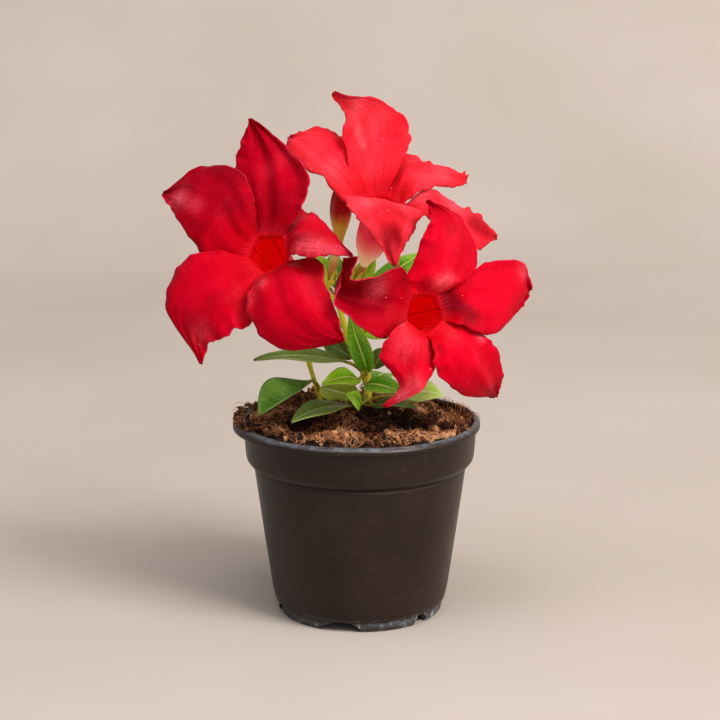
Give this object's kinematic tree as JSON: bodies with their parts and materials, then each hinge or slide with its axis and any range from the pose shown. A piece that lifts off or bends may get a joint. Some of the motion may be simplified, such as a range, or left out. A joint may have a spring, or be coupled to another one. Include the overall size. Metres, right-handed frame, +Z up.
{
  "type": "potted mandevilla",
  "caption": "Young climbing plant with red trumpet flowers of twisted lobes, a furled bud and pointed oval leaves, rooted in loose coir in a round black plastic nursery pot.",
  "frame": {"origin": "middle of the bottom of the whole object's box, at the level of the table the pot stands on", "axes": "+Z up along the pot's axis; -Y towards the side the flowers face; +X to the right as seen from that side. The pot's own axis is parallel to Z, 5.3 mm to +X and 6.2 mm to +Y of the origin."},
  "size_m": [0.1522, 0.1174, 0.2213],
  "materials": {
    "pot_plastic": "black-brown injection-moulded polypropylene, satin, with dust and scuffs",
    "coir": "loose brown coconut fibre and peat crumbs, dry and matt",
    "stem": "smooth yellow-green shoot with a brownish blush at its joints",
    "petal": "crimson petal, soft satin, with fine lengthwise veins and darker tips",
    "tube": "smooth waxy yellow-green tube that reddens upwards",
    "bud": "deep red furled bud, satin, olive at its foot",
    "leaf_fresh": "young bright green leaf, slightly glossy, with a pale midrib",
    "leaf_green": "mid green leaf, slightly glossy, with a pale midrib and side veins",
    "leaf_old": "older grey-green leaf with a pale midrib, satin"
  },
  "bodies": {
    "root": {"pot": "pot_plastic", "soil": "coir", "main_shoot": "stem", "left_shoot": "stem", "corolla_left": "petal", "corolla_top": "petal", "corolla_right": "petal", "tube_left": "tube", "tube_top": "tube", "tube_right": "tube", "bud": "bud", "tube_bud": "tube", "leaf_left_upper": "leaf_old", "leaf_left_low": "leaf_green", "leaf_left_soil": "leaf_old", "leaf_middle_left": "leaf_fresh", "leaf_middle_front": "leaf_green", "leaf_middle_back": "leaf_old", "leaf_young_left": "leaf_fresh", "leaf_young_front": "leaf_fresh", "leaf_right_low": "leaf_green", "leaf_right_far": "leaf_fresh", "leaf_right_soil": "leaf_old", "leaf_right_back": "leaf_old", "leaf_fork_right": "leaf_fresh", "leaf_top_right": "leaf_fresh", "leaf_top_far": "leaf_green", "leaf_top_left": "leaf_fresh", "leaf_top_back": "leaf_green", "leaf_back_left": "leaf_green", "leaf_back_right": "leaf_green", "leaf_back_low": "leaf_green"}
  },
  "joints": []
}
